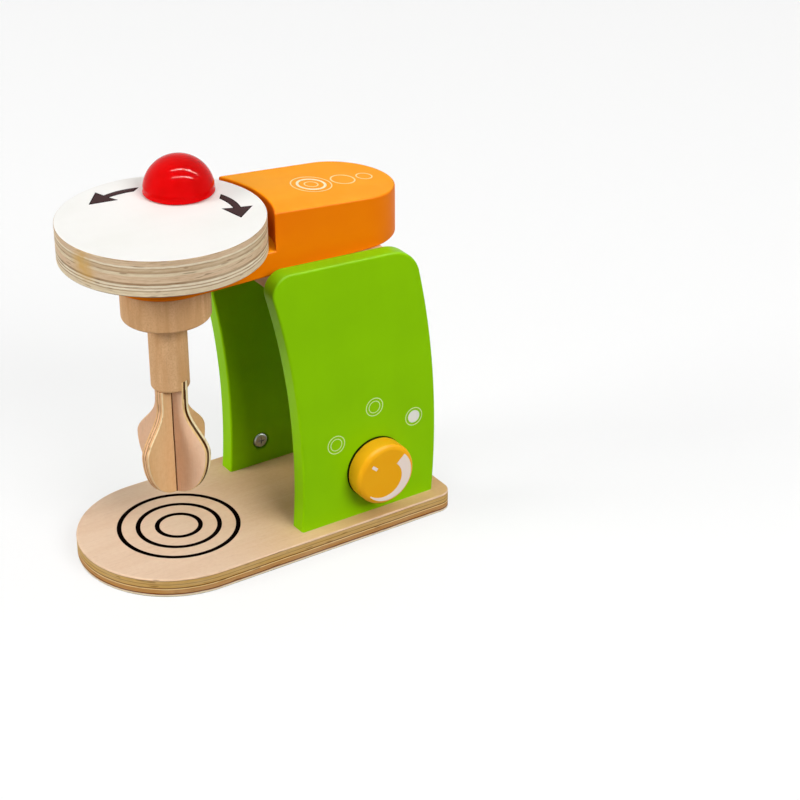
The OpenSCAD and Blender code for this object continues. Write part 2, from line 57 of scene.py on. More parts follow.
BASE_LOW, BASE_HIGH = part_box("base_board")
DISC_LOW, DISC_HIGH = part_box("disc")
HEAD_LOW, HEAD_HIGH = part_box("head")
HUB_LOW, HUB_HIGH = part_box("hub")
SHAFT_LOW, SHAFT_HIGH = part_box("beater_shaft")
KNOB_LOW, KNOB_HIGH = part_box("crank_knob")
DIAL_LOW, DIAL_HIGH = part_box("dial")
PANEL_LOW, PANEL_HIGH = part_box("dial_panel")
FAR_PANEL_LOW, FAR_PANEL_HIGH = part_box("peg_panel")
BRIDGE_LOW, BRIDGE_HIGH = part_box("bridge_block")
PEG_LOW, PEG_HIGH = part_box("side_peg")
BLADE_LOW, BLADE_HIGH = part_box("beater_blade_a")

AXLE = Vector(((HUB_LOW.x + HUB_HIGH.x) / 2, 0, 0))
KNOB = Vector(((KNOB_LOW.x + KNOB_HIGH.x) / 2, (KNOB_LOW.y + KNOB_HIGH.y) / 2, 0))
DIAL = Vector(((DIAL_LOW.x + DIAL_HIGH.x) / 2, 0, (DIAL_LOW.z + DIAL_HIGH.z) / 2))
PEG = Vector(((PEG_LOW.x + PEG_HIGH.x) / 2, 0, (PEG_LOW.z + PEG_HIGH.z) / 2))
KNOB_ANGLE = math.degrees(math.atan2(KNOB.y - AXLE.y, KNOB.x - AXLE.x))
DIAL_R = (DIAL_HIGH.x - DIAL_LOW.x) / 2

# The thickness of the prints, and the dial's height without the print on its face

PRINT_T = 0.06 * MM
DIAL_H = DIAL_HIGH.y - DIAL_LOW.y - PRINT_T

# Sizes that the boxes don't give, as in the part's source

BASE_CORNER_R = 10 * MM
PANEL_DEPTH = 96.6 * MM
PANEL_FRONT_R = 464 * MM
PANEL_FRONT_Z = 51 * MM
PANEL_BACK_R = 516 * MM
PANEL_BACK_Z = 59 * MM
PANEL_TOP_Z = 188.3 * MM
PANEL_TOP_SLOPE = 3.3
PANEL_FRONT_CORNER_R = 12 * MM
PANEL_BACK_CORNER_R = 21.5 * MM
ARM_T = 15 * MM
HEAD_BACK_H = 29.9 * MM
HEAD_TOP_SLOPE = 5.25
RECESS_R = DISC_HIGH.y + 4 * MM
DIAL_EDGE_R = 3.5 * MM
BLADE_T = 5.5 * MM
BLADE_W = 53.6 * MM
BLADE_NECK_W = 22 * MM
BLADE_NECK_L = 10 * MM
BLADE_SWELL_L = 28.7 * MM
BLADE_SWELL_POWER = 1.25
BLADE_BELLY_L = 33 * MM
TONGUE_W = 14 * MM
TONGUE_L = 18 * MM
OPEN_SLOT_L = 6.2 * MM
SLOT_GAP = 0.15 * MM
SLOT_END_GAP = 0.4 * MM
BLADE_ANGLE = 22
COUNTERBORE_D = 12 * MM
COUNTERBORE_H = 3.4 * MM
CRANK_COUNTERBORE_H = 4.4 * MM
PEG_POCKET_H = 2.4 * MM
SCREW_BORE_D = 5.2 * MM


# Points

def arc(centre, radius, start, end, count):
    """Points on an arc, from one angle in degrees to another, both ends included."""
    points = []
    for i in range(count + 1):
        a = math.radians(start + (end - start) * i / count)
        points.append((centre[0] + radius * math.cos(a), centre[1] + radius * math.sin(a)))
    return points


def line_to_circle(start, direction, centre, radius):
    """Where a line from start meets a circle, on the far side."""
    away = Vector(start) - Vector(centre)
    ahead = away.dot(Vector(direction))
    reach = math.sqrt(ahead ** 2 - away.length_squared + radius ** 2) - ahead
    return Vector(start) + reach * Vector(direction)


def without_repeats(points):
    """The closed outline with the points left out that repeat the one before."""
    nearest = 0.05 * MM
    return [p for i, p in enumerate(points) if (Vector(p) - Vector(points[i - 1])).length > nearest]


def base_outline():
    """The base board's outline: half round at the beater's end, and two small corners at the back."""
    half_w = BASE_HIGH.y
    corner_x = BASE_HIGH.x - BASE_CORNER_R
    corner_y = half_w - BASE_CORNER_R
    return (
        arc((BASE_LOW.x + half_w, 0), half_w, 90, 270, 90)
        + arc((corner_x, -corner_y), BASE_CORNER_R, -90, 0, 12)
        + arc((corner_x, corner_y), BASE_CORNER_R, 0, 90, 12)
    )


def panel_outline():
    """A side panel's outline in X and Z, with a hollow front edge and a bowed back edge."""
    back_x = PANEL_HIGH.x
    front_x = back_x - PANEL_DEPTH
    foot_z = PANEL_LOW.z
    slope = math.radians(PANEL_TOP_SLOPE)
    down = Vector((math.sin(slope), math.cos(slope)))
    along = Vector((math.cos(slope), -math.sin(slope)))
    top = Vector((front_x, PANEL_TOP_Z))
    front_c = Vector((front_x - PANEL_FRONT_R, PANEL_FRONT_Z))
    back_c = Vector((back_x - PANEL_BACK_R, PANEL_BACK_Z))
    front_r = PANEL_FRONT_R + PANEL_FRONT_CORNER_R
    back_r = PANEL_BACK_R - PANEL_BACK_CORNER_R
    front = line_to_circle(top - PANEL_FRONT_CORNER_R * down, along, front_c, front_r)
    back = line_to_circle(top - PANEL_BACK_CORNER_R * down, along, back_c, back_r)
    front_a = math.degrees(math.atan2(*(front - front_c).yx))
    back_a = math.degrees(math.atan2(*(back - back_c).yx))
    front_foot = math.degrees(math.asin((foot_z - PANEL_FRONT_Z) / PANEL_FRONT_R))
    back_foot = math.degrees(math.asin((foot_z - PANEL_BACK_Z) / PANEL_BACK_R))
    return (
        arc(front_c, PANEL_FRONT_R, front_foot, front_a, 30)
        + arc(front, PANEL_FRONT_CORNER_R, front_a + 180, 90 - PANEL_TOP_SLOPE, 16)
        + arc(back, PANEL_BACK_CORNER_R, 90 - PANEL_TOP_SLOPE, back_a, 20)
        + arc(back_c, PANEL_BACK_R, back_a, back_foot, 30)
    )


def blade_outline(shoulder_z):
    """A beater blade's outline: half width and height, up one side and down the other."""
    neck_z = SHAFT_LOW.z - BLADE_NECK_L
    wide_z = neck_z - BLADE_SWELL_L
    wide, neck = BLADE_W / 2, BLADE_NECK_W / 2
    steps = 20
    side = []
    for i in range(steps):
        a = math.radians(90 * i / steps)
        side.append((wide * math.sin(a), wide_z - BLADE_BELLY_L * math.cos(a)))
    for i in range(steps + 1):
        swell = ((1 + math.cos(math.pi * i / steps)) / 2) ** BLADE_SWELL_POWER
        side.append((neck + (wide - neck) * swell, wide_z + BLADE_SWELL_L * i / steps))
    top_z = SHAFT_LOW.z + TONGUE_L
    side += [(neck, shoulder_z), (TONGUE_W / 2, shoulder_z), (TONGUE_W / 2, top_z)]
    return side + [(-u, v) for u, v in reversed(side[1:])]


def lower_edge(radius, low, edge, count):
    """The rounded lower edge of a turned profile, from its underside to its side."""
    return [(radius - edge + r, low + edge + h) for r, h in arc((0, 0), edge, -90, 0, count)]


def upper_edge(radius, high, edge, count, end=90):
    """The rounded upper edge of a turned profile, from its side up to an angle."""
    return [(radius - edge + r, high - edge + h) for r, h in arc((0, 0), edge, 0, end, count)]


# Meshes

SHARP_ANGLE = math.radians(50)
EASED_ANGLE = math.radians(35)


def finished(name, bm, material, body, *nodes):
    """Makes a piece of a mesh: smooth, with its flat faces kept, on a body and in place of CAD nodes."""
    mesh = bpy.data.meshes.new(name)
    bmesh.ops.recalc_face_normals(bm, faces=bm.faces)
    bm.to_mesh(mesh)
    bm.free()
    mesh.shade_smooth()
    mesh.set_sharp_from_angle(angle=SHARP_ANGLE)
    piece = bpy.data.objects.new(name, mesh)
    bpy.context.scene.collection.objects.link(piece)
    mesh.materials.append(material)
    weighted = piece.modifiers.new("weighted_normals", "WEIGHTED_NORMAL")
    weighted.keep_sharp = True
    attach(piece, body)
    for node in nodes:
        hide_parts(node)


def ease(bm, width, segments=3, chosen=None):
    """Rounds the mesh's outer edges, or those of them that are chosen."""
    bm.normal_update()
    edges = [
        e for e in bm.edges
        if e.is_manifold and e.calc_face_angle_signed() > EASED_ANGLE
        and (chosen is None or chosen(e))
    ]
    bmesh.ops.bevel(
        bm, geom=edges, offset=width, offset_type="OFFSET", segments=segments, profile=0.5,
        affect="EDGES", clamp_overlap=False,
    )


def slab(outline, low, high, place):
    """A solid of the outline, from w = low to w = high, where place turns (u, v, w) into a point."""
    outline = without_repeats(outline)
    bm = bmesh.new()
    lower = [bm.verts.new(place(u, v, low)) for u, v in outline]
    upper = [bm.verts.new(place(u, v, high)) for u, v in outline]
    bm.faces.new(lower)
    bm.faces.new(upper)
    for i in range(len(outline)):
        j = (i + 1) % len(outline)
        bm.faces.new((lower[i], lower[j], upper[j], upper[i]))
    bmesh.ops.recalc_face_normals(bm, faces=bm.faces)
    return bm


def turned(profile, place, segments=96):
    """A solid turned from (radius, height) points, where place turns (x, y, height) into a point."""
    bm = bmesh.new()
    rings = []
    for radius, height in profile:
        if radius == 0:
            rings.append([bm.verts.new(place(0, 0, height))])
            continue
        ring = []
        for i in range(segments):
            a = 2 * math.pi * i / segments
            ring.append(bm.verts.new(place(radius * math.cos(a), radius * math.sin(a), height)))
        rings.append(ring)
    for below, above in zip(rings, rings[1:]):
        for i in range(segments):
            j = (i + 1) % segments
            places = ((below, i), (below, j), (above, j), (above, i))
            corners = [ring[number % len(ring)] for ring, number in places]
            bm.faces.new(list(dict.fromkeys(corners)))
    bmesh.ops.recalc_face_normals(bm, faces=bm.faces)
    return bm


def upright(centre, low=0):
    """Places a turned piece on a vertical axis, its height counted from low."""
    return lambda x, y, h: (centre.x + x, centre.y + y, low + h)


def out_of_panel(centre, y, way):
    """Places a turned piece on an axis along Y, its height counted from y, way being -1 or 1."""
    return lambda x, z, h: (centre.x + x, y + way * h, centre.z + z)


def box_mesh(low, high):
    outline = [(low[0], low[1]), (high[0], low[1]), (high[0], high[1]), (low[0], high[1])]
    return slab(outline, low[2], high[2], lambda u, v, w: (u, v, w))


def cut(bm, *cutters):
    """Takes the cutters' solids out of a mesh and gives the result."""
    objects = []
    for solid in (bm, *cutters):
        mesh = bpy.data.meshes.new("cutting")
        bmesh.ops.recalc_face_normals(solid, faces=solid.faces)
        solid.to_mesh(mesh)
        solid.free()
        objects.append(bpy.data.objects.new("cutting", mesh))
        bpy.context.scene.collection.objects.link(objects[-1])
    for tool in objects[1:]:
        boolean = objects[0].modifiers.new("cut", "BOOLEAN")
        boolean.operation = "DIFFERENCE"
        boolean.solver = "EXACT"
        boolean.object = tool
    bpy.context.view_layer.update()
    result = bmesh.new()
    result.from_object(objects[0], bpy.context.evaluated_depsgraph_get())
    for item in objects:
        mesh = item.data
        bpy.data.objects.remove(item)
        bpy.data.meshes.remove(mesh)
    return result


# Materials

def colour(red, green, blue):
    """A colour as a screen shows it, 0 to 255, in the shader's linear values."""
    values = [red / 255, green / 255, blue / 255]
    return tuple(v / 12.92 if v <= 0.04045 else ((v + 0.055) / 1.055) ** 2.4 for v in values) + (1,)


class Shader:
    """Builds one material, one call for each node."""

    def __init__(self, name):
        self.material = bpy.data.materials.new(name)
        self.material.use_nodes = True
        self.nodes = self.material.node_tree.nodes
        self.links = self.material.node_tree.links
        self.nodes.clear()
        self.surface = self.nodes.new("ShaderNodeBsdfPrincipled")
        self.output = self.nodes.new("ShaderNodeOutputMaterial")
        self.links.new(self.surface.outputs[0], self.output.inputs[0])
        place = self.nodes.new("ShaderNodeTexCoord")
        self.place, self.facing = place.outputs["Object"], place.outputs["Normal"]

    def put(self, socket, value):
        if isinstance(value, bpy.types.NodeSocket):
            self.links.new(value, socket)
        else:
            socket.default_value = value

    def set(self, **values):
        """Sets the shader's own sockets: base_color is its Base Color."""
        for name, value in values.items():
            self.put(self.surface.inputs[name.replace("_", " ").title().replace("Ior", "IOR")], value)

    def node(self, kind, *values, output=0, **settings):
        made = self.nodes.new(kind)
        for name, value in settings.items():
            setattr(made, name, value)
        for socket, value in zip(made.inputs, values):
            self.put(socket, value)
        return made.outputs[output]

    def math(self, operation, *values):
        return self.node("ShaderNodeMath", *values, operation=operation)

    def add(self, *values):
        total = values[0]
        for value in values[1:]:
            total = self.math("ADD", total, value)
        return total

    def times(self, value, factor):
        return self.math("MULTIPLY", value, factor)

    def dot(self, vector, axis):
        return self.node("ShaderNodeVectorMath", vector, axis, output="Value", operation="DOT_PRODUCT")

    def stretched(self, factors):
        return self.node("ShaderNodeVectorMath", self.place, factors, operation="MULTIPLY")

    def away_from(self, point):
        return self.node("ShaderNodeVectorMath", self.place, point, output="Value", operation="DISTANCE")

    def noise(self, vector, scale, detail=3, roughness=0.5, distortion=0):
        made = self.nodes.new("ShaderNodeTexNoise")
        self.put(made.inputs["Vector"], vector)
        made.inputs["Scale"].default_value = scale
        made.inputs["Detail"].default_value = detail
        made.inputs["Roughness"].default_value = roughness
        made.inputs["Distortion"].default_value = distortion
        return made.outputs["Fac"]

    def span(self, value, low, high, to_low=0, to_high=1, smooth=False):
        """Turns low to high into to_low to to_high, and stops at these."""
        made = self.nodes.new("ShaderNodeMapRange")
        made.interpolation_type = "SMOOTHSTEP" if smooth else "LINEAR"
        self.put(made.inputs["Value"], value)
        made.inputs["From Min"].default_value = low
        made.inputs["From Max"].default_value = high
        made.inputs["To Min"].default_value = to_low
        made.inputs["To Max"].default_value = to_high
        return made.outputs[0]

    def mix(self, share, first, second, blend="MIX"):
        made = self.nodes.new("ShaderNodeMix")
        made.data_type = "RGBA"
        made.blend_type = blend
        self.put(made.inputs["Factor"], share)
        self.put(made.inputs[6], first)
        self.put(made.inputs[7], second)
        return made.outputs[2]

    def layers(self, height, stack):
        """Colours laid one on another as height goes from 0 to 1: pairs of a thickness and a colour."""
        made = self.nodes.new("ShaderNodeValToRGB")
        self.put(made.inputs[0], height)
        total = sum(thickness for thickness, _ in stack)
        widest_blur, blurred_share = 0.008, 0.25
        low = 0
        stops = []
        for thickness, tone in stack:
            high = low + thickness / total
            blur = min(widest_blur, blurred_share * (high - low))
            stops += [(low + blur, tone), (high - blur, tone)]
            low = high
        elements = made.color_ramp.elements
        while len(elements) < len(stops):
            elements.new(0.5)
        for element, (place, tone) in zip(elements, stops):
            element.position, element.color = place, tone
        return made.outputs[0]

    def bump(self, height, distance, strength=1.0):
        made = self.nodes.new("ShaderNodeBump")
        made.inputs["Strength"].default_value = strength
        made.inputs["Distance"].default_value = distance
        self.put(made.inputs["Height"], height)
        self.put(self.surface.inputs["Normal"], made.outputs[0])


def grain(shader, along, band=60):
    """Wood grain along an axis: returns broad bands, fine streaks and short pores, each 0 to 1."""
    def squeezed(factor):
        return shader.stretched(tuple(factor if abs(a) > 0.5 else 1 for a in along))

    bands = shader.noise(squeezed(0.12), band, detail=2, distortion=0.6)
    streaks = shader.noise(squeezed(0.03), 900, detail=4, roughness=0.65)
    pores = shader.span(shader.noise(squeezed(0.045), 2300, detail=2), 0.60, 0.70)
    return bands, streaks, pores


def bare_wood(name, pale, dark, along, band=60, streaky=0.45, rough=0.55):
    """Bare wood under a clear matt lacquer."""
    shader = Shader(name)
    bands, streaks, pores = grain(shader, along, band)
    tone = shader.add(shader.times(bands, 1 - streaky), shader.times(streaks, streaky))
    wood = shader.mix(shader.span(tone, 0.30, 0.72), pale, dark)
    specks = shader.noise(shader.place, 900, detail=3, roughness=0.7)
    wood = shader.mix(shader.span(specks, 0.46, 0.62, 0, 0.55), wood, dark)
    wood = shader.mix(shader.times(pores, 0.24), wood, shader.mix(0.5, dark, colour(118, 76, 44)))
    shader.set(base_color=wood, roughness=shader.span(streaks, 0.3, 0.7, rough - 0.06, rough + 0.08))
    shader.set(specular_ior_level=0.12)
    shader.bump(shader.math("SUBTRACT", streaks, pores), 0.05 * MM, 0.5)
    return shader.material


def veneer(shader, along, pale, dark, fleck):
    """The grained face of a plywood board: its colour and its height."""
    bands, streaks, pores = grain(shader, along)
    mottle = shader.noise(shader.place, 420, detail=3, roughness=0.6)
    tone = shader.add(shader.times(bands, 0.5), shader.times(streaks, 0.2), shader.times(mottle, 0.3))
    wood = shader.mix(shader.span(tone, 0.38, 0.62), pale, dark)
    wood = shader.mix(shader.times(pores, 0.12), wood, fleck)
    return wood, shader.times(shader.math("SUBTRACT", streaks, pores), 0.3)


def plies(shader, normal, middle, thickness, stack, rubbed):
    """The bare plies of a plywood board, from low to high along normal: their colour and their fibres."""
    depth = shader.math("SUBTRACT", shader.dot(shader.place, normal), middle - thickness / 2)
    depth = shader.math("DIVIDE", depth, thickness)
    slow = shader.math("SUBTRACT", shader.noise(shader.place, 24, detail=2), 0.5)
    quick = shader.math("SUBTRACT", shader.noise(shader.place, 170, detail=3), 0.5)
    depth = shader.add(depth, shader.times(slow, 0.07), shader.times(quick, 0.025))
    ply = shader.layers(depth, stack)
    squash = tuple(0.10 + 0.90 * abs(n) for n in normal)
    fibres = shader.noise(shader.stretched(squash), 1500, detail=4, roughness=0.7)
    wide = shader.noise(shader.stretched(squash), 380, detail=3, roughness=0.6)
    flecks = shader.noise(shader.stretched(squash), 800, detail=1)
    ply = shader.mix(shader.span(wide, 0.40, 0.70, 0.0, rubbed), ply, stack[1][1])
    ply = shader.mix(shader.span(fibres, 0.42, 0.70, 0, 0.50), ply, colour(214, 198, 178), blend="MULTIPLY")
    ply = shader.mix(shader.span(flecks, 0.66, 0.72, 0, 0.55), ply, colour(150, 116, 84), blend="MULTIPLY")
    return ply, fibres


def stained(shader, wood, place, reach, tone):
    """The wood's colour with a patchy stain round a place."""
    near = shader.span(shader.away_from(place), 0.25 * reach, reach, 0.75, 0, smooth=True)
    patchy = shader.times(near, shader.span(shader.noise(shader.place, 90, detail=3), 0.3, 0.6))
    return shader.mix(patchy, wood, tone)


def plywood(
    name, normal, middle, thickness, stack, face,
    along=ENDWAYS, rubbed=0.45, stain=None, yellow_span=None,
):
    """Plywood: a veneer square to normal, and the stack of plies on every other face. face is a pair of
    tones, stain is a place, a reach and a tone, and yellow_span is the span of X over which the face turns
    yellower and a little darker."""
    shader = Shader(name)
    face_wood, face_height = veneer(shader, along, face[0], face[1], stack[2][1])
    if yellow_span:
        # The face is multiplied towards a pale yellow from the front to the back of the given span along X
        share = shader.span(shader.dot(shader.place, ENDWAYS), *yellow_span, smooth=True)
        face_wood = shader.mix(share, face_wood, colour(252, 236, 196), blend="MULTIPLY")
    ply, fibres = plies(shader, normal, middle, thickness, stack, rubbed)
    if stain:
        ply = stained(shader, ply, *stain)
    turned_to = shader.math("ABSOLUTE", shader.dot(shader.facing, normal))
    on_face = shader.span(turned_to, 0.80, 0.97, smooth=True)
    shader.set(base_color=shader.mix(on_face, ply, face_wood), specular_ior_level=0.04)
    shader.set(roughness=shader.span(fibres, 0.3, 0.7, 0.45, 0.62))
    height = shader.add(
        shader.times(shader.times(fibres, 0.8), shader.math("SUBTRACT", 1.0, on_face)),
        shader.times(face_height, on_face),
    )
    shader.bump(height, 0.12 * MM, 0.6)
    return shader.material


def painted(name, tone, shade, along, rough=0.42, top=None):
    """Paint on wood: faint grain, a slightly uneven colour and, where a top tone is given, a paler top
    painted in as the light that falls from above.
    """
    shader = Shader(name)
    bands, streaks, _ = grain(shader, along)
    clouds = shader.noise(shader.place, 22, detail=3)
    share = shader.add(shader.times(clouds, 0.7), shader.times(bands, 0.3))
    paint = shader.mix(shader.span(share, 0.38, 0.62), tone, shade)
    # Painted light: faces turned upwards take the paler top tone, as where the light from above falls on
    # them
    if top:
        lit_top_share = shader.span(shader.dot(shader.facing, UP), 0.5, 0.95, smooth=True)
        painted_top_light = shader.mix(shader.span(share, 0.38, 0.62, 0, 0.25), top, shade)
        paint = shader.mix(lit_top_share, paint, painted_top_light)
    shader.set(base_color=paint, specular_ior_level=0.06)
    shader.set(roughness=shader.span(clouds, 0.35, 0.65, rough - 0.04, rough + 0.05))
    peel = shader.noise(shader.place, 900, detail=2)
    shader.bump(shader.add(peel, shader.times(streaks, 0.6)), 0.035 * MM, 0.35)
    return shader.material


def lacquered(name, tone, shade):
    """Thick glossy lacquer on a turned piece."""
    shader = Shader(name)
    clouds = shader.noise(shader.place, 55, detail=2)
    shader.set(base_color=shader.mix(shader.span(clouds, 0.4, 0.6), tone, shade))
    shader.set(roughness=0.05, specular_ior_level=0.05)
    ripple = shader.noise(shader.place, 160, detail=1)
    shader.bump(ripple, 0.05 * MM, 0.10)
    return shader.material


def ink(name, tone, shade, along, cover=0.85):
    """A screen print: flat ink with the grain and tiny gaps showing."""
    shader = Shader(name)
    _, streaks, pores = grain(shader, along)
    worn = shader.times(shader.span(streaks, 0.52, 0.75), 1 - cover)
    shader.set(base_color=shader.mix(shader.add(worn, shader.times(pores, 0.1)), tone, shade))
    shader.set(roughness=shader.span(streaks, 0.3, 0.7, 0.5, 0.65), specular_ior_level=0.0)
    shader.bump(streaks, 0.03 * MM, 0.3)
    return shader.material


def zinc_steel(name):
    """Zinc-plated steel with fine brushing."""
    shader = Shader(name)
    cloud = shader.noise(shader.place, 260, detail=3)
    brushed = shader.noise(shader.stretched((1, 1, 0.08)), 3200, detail=2)
    shader.set(base_color=shader.mix(cloud, colour(196, 198, 200), colour(160, 163, 168)), metallic=1.0)
    shader.set(roughness=shader.span(brushed, 0.3, 0.7, 0.25, 0.42))
    shader.bump(brushed, 0.02 * MM, 0.4)
    return shader.material


def felt(name):
    """Pressed felt, with short crossed fibres."""
    shader = Shader(name)
    fibres = shader.noise(shader.place, 2600, detail=4, roughness=0.8)
    shader.set(base_color=shader.mix(fibres, colour(52, 47, 43), colour(88, 80, 74)), roughness=0.95)
    shader.set(sheen_weight=0.3)
    shader.bump(fibres, 0.2 * MM, 0.8)
    return shader.material


def base_plywood():
    """The base board's plywood, its face yellower towards the back."""
    contact_shadow_tone, cream, burnt = colour(118, 78, 42), colour(255, 240, 208), colour(128, 60, 8)
    amber, straw, nut = colour(206, 150, 86), colour(255, 226, 158), colour(140, 78, 20)
    olive, ochre, blush = colour(218, 177, 104), colour(172, 127, 66), colour(242, 208, 176)
    # The lowest band is painted shadow: a dark line along the board's foot, where it meets the floor
    stack = (
        (0.04, contact_shadow_tone), (0.10, cream), (0.07, burnt), (0.21, amber), (0.05, straw), (0.06, nut),
        (0.16, olive), (0.035, ochre), (0.16, olive), (0.025, ochre), (0.09, blush),
    )
    middle, thickness = (BASE_LOW.z + BASE_HIGH.z) / 2, BASE_HIGH.z - BASE_LOW.z
    face = (colour(233, 205, 178), colour(226, 194, 165))
    yellow_span = (-60 * MM, 60 * MM)
    return plywood("base_plywood", UP, middle, thickness, stack, face, rubbed=0.15, yellow_span=yellow_span)


def disc_plywood():
    """The disc's plywood, with a stain on its rim."""
    edge, linen, line = colour(174, 142, 108), colour(236, 218, 186), colour(190, 158, 124)
    pale, drab, rose = colour(250, 238, 212), colour(218, 192, 156), colour(228, 198, 164)
    stack = (
        (0.02, edge), (0.13, linen), (0.03, line), (0.05, pale), (0.03, line), (0.06, pale),
        (0.06, edge), (0.18, rose), (0.08, linen), (0.05, line), (0.06, drab), (0.03, line),
        (0.05, pale), (0.13, rose), (0.02, edge),
    )
    middle, thickness = (DISC_LOW.z + DISC_HIGH.z) / 2, DISC_HIGH.z - DISC_LOW.z
    face = (colour(214, 186, 156), colour(200, 168, 134))
    stain_angle, stain_z, reach = math.radians(-163), 212 * MM, 13 * MM
    stain_x = AXLE.x + DISC_HIGH.y * math.cos(stain_angle)
    stain_y = DISC_HIGH.y * math.sin(stain_angle)
    stain = (Vector((stain_x, stain_y, stain_z)), reach, colour(222, 172, 84))
    return plywood("disc_plywood", UP, middle, thickness, stack, face, stain=stain)


def blade_normal(turn):
    """The direction square to a blade's faces."""
    a = math.radians(BLADE_ANGLE + turn)
    return Vector((-math.sin(a), math.cos(a), 0))


def blade_plywood(letter, turn, stack, face, rubbed=0.45):
    """The plywood of a beater blade that stands at a turn from the first."""
    normal = blade_normal(turn)
    return plywood("blade_plywood_" + letter, normal, normal.dot(AXLE), BLADE_T, stack, face, UP, rubbed)


def tan_blade_plywood():
    """The first blade's plywood, with thin brown plies between broad pale ones."""
    cream, tan = colour(255, 232, 188), colour(238, 192, 142)
    brown, rose = colour(140, 88, 48), colour(242, 196, 154)
    stack = (
        (0.16, cream), (0.22, tan), (0.07, brown), (0.24, rose), (0.07, brown), (0.21, tan), (0.04, brown),
    )
    return blade_plywood("a", 0, stack, (colour(234, 194, 144), colour(224, 178, 126)))


def burnt_blade_plywood():
    """The second blade's plywood, with one thick ply burnt black by the saw."""
    cream, tan = colour(255, 238, 196), colour(226, 192, 140)
    soot, honey = colour(82, 42, 6), colour(250, 212, 152)
    stack = ((0.10, tan), (0.28, cream), (0.34, soot), (0.02, tan), (0.26, honey))
    return blade_plywood("b", 90, stack, (colour(250, 212, 180), colour(242, 198, 162)), rubbed=0.08)


base_ply = base_plywood()
disc_ply = disc_plywood()
blade_plies = [tan_blade_plywood(), burnt_blade_plywood()]
beech = bare_wood("turned_beech", colour(238, 194, 146), colour(212, 160, 108), UP, band=150, streaky=0.2)
block_wood = bare_wood("block_wood", colour(240, 216, 174), colour(226, 196, 148), ACROSS)
green = painted("green_paint", colour(148, 212, 0), colour(143, 206, 0), UP)
# The orange's top tone is painted light: its upward faces are paler, as where the lamps above light them
orange = painted(
    "orange_paint", colour(254, 134, 0), colour(250, 127, 0), ENDWAYS, top=colour(255, 166, 10),
)
yellow = painted("yellow_paint", colour(255, 185, 30), colour(255, 178, 22), ACROSS, rough=0.3)
white = painted("white_paint", colour(242, 241, 237), colour(239, 238, 233), ENDWAYS)
red = lacquered("red_lacquer", colour(216, 0, 2), colour(206, 0, 0))
steel = zinc_steel("zinc_steel")
dark_felt = felt("dark_felt")
black_ink = ink("black_ink", colour(8, 3, 2), colour(34, 20, 14), ENDWAYS)
arrow_ink = ink("arrow_ink", colour(74, 56, 56), colour(86, 66, 66), ENDWAYS, cover=0.6)
outline_ink = ink("outline_ink", colour(26, 10, 11), colour(44, 26, 26), ENDWAYS, cover=0.6)
head_ink = ink("head_ink", colour(254, 226, 168), colour(252, 206, 130), ENDWAYS, cover=0.5)
bold_ink = ink("bold_ink", colour(254, 240, 206), colour(252, 226, 170), ENDWAYS, cover=0.7)
panel_ink = ink("panel_ink", colour(232, 246, 184), colour(206, 232, 124), UP, cover=0.6)
dot_ink = ink("dot_ink", colour(244, 244, 236), colour(232, 236, 216), UP, cover=0.7)
dial_ink = ink("dial_ink", colour(255, 236, 224), colour(250, 224, 206), UP, cover=0.7)
# A dark green ink for the painted shadow in the gap behind the dial
gap_shadow_ink = ink("gap_shadow_ink", colour(34, 44, 4), colour(50, 66, 6), UP, cover=0.7)
# A dark brown for the painted shade in the seams between the beater's blades
seam_shade_ink = ink("seam_shade_ink", colour(92, 44, 16), colour(112, 62, 30), UP, cover=0.2)


# Wooden pieces

HOLE_SIDES = 48
FINE_SIDES = 128


def base_board():
    """The base board, with a pocket in its underside for the head of each screw."""
    bm = slab(base_outline(), BASE_LOW.z, BASE_HIGH.z, lambda u, v, w: (u, v, w))
    ease(bm, 0.9 * MM)
    screw_low, screw_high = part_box("base_screws")
    head_r, sink = 4.3 * MM, screw_low.z
    pocket = [(0, -MM), (head_r, -MM), (head_r, sink), (0, sink)]
    cutters = []
    for x in (screw_low.x + head_r, screw_high.x - head_r):
        for y in (screw_low.y + head_r, screw_high.y - head_r):
            cutters.append(turned(pocket, upright(Vector((x, y, 0))), HOLE_SIDES))
    finished("eased_base_board", cut(bm, *cutters), base_ply, "root", "base_board")


def panel(name, low, high, pocket, depth, node):
    """A side panel with the pocket for a screw's head in its inner face."""
    bm = slab(panel_outline(), low.y, high.y, lambda u, v, w: (u, w, v))
    ease(bm, 1.5 * MM, segments=4, chosen=lambda e: max(v.co.z for v in e.verts) > low.z + MM)
    inner, way = (low.y, 1) if low.y > 0 else (high.y, -1)
    through = 20 * MM
    profile = [(0, -MM), (COUNTERBORE_D / 2, -MM), (COUNTERBORE_D / 2, depth), (SCREW_BORE_D / 2, depth)]
    profile += [(SCREW_BORE_D / 2, through), (0, through)]
    hole = turned(profile, out_of_panel(pocket, inner, way), HOLE_SIDES)
    finished(name, cut(bm, hole), green, "root", node)


def bridge_block():
    bm = box_mesh(BRIDGE_LOW, BRIDGE_HIGH)
    ease(bm, 0.8 * MM)
    finished("eased_bridge_block", bm, block_wood, "root", "bridge_block")


